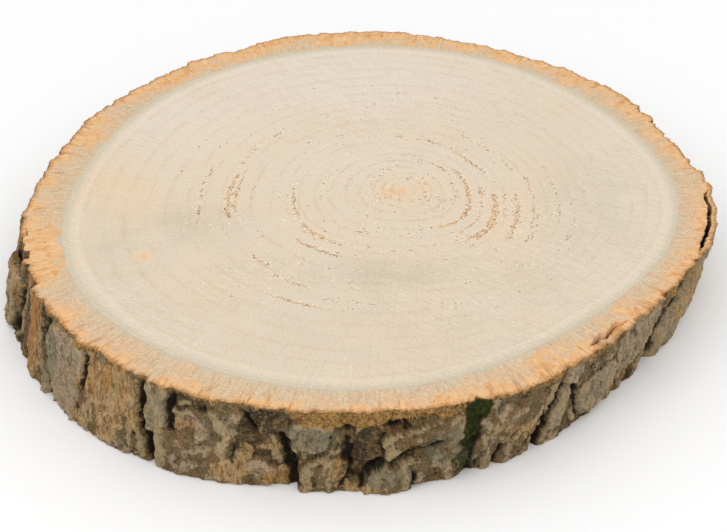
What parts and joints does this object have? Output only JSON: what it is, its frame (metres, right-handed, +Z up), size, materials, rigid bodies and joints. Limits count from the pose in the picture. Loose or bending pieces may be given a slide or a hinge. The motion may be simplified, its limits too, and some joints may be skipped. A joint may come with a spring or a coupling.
{
  "type": "wood slice",
  "caption": "Thick round slice sawn from a log, lying flat: pale wood with an off-centre pith, ringed by rough fissured bark with a split standing open at the rim.",
  "frame": {"origin": "middle of the sawn underside, on the surface the slice lies on", "axes": "+Z up through the thickness of the slice; +X the way the log leans; the side with the moss faces -Y"},
  "size_m": [0.2841, 0.2804, 0.035],
  "materials": {
    "wood": "raw sawn end grain, matt",
    "bark": "rough dry bark with a sawn inner-bark band, matt"
  },
  "bodies": {
    "root": {"wood": "wood", "bark": "bark"}
  },
  "joints": []
}
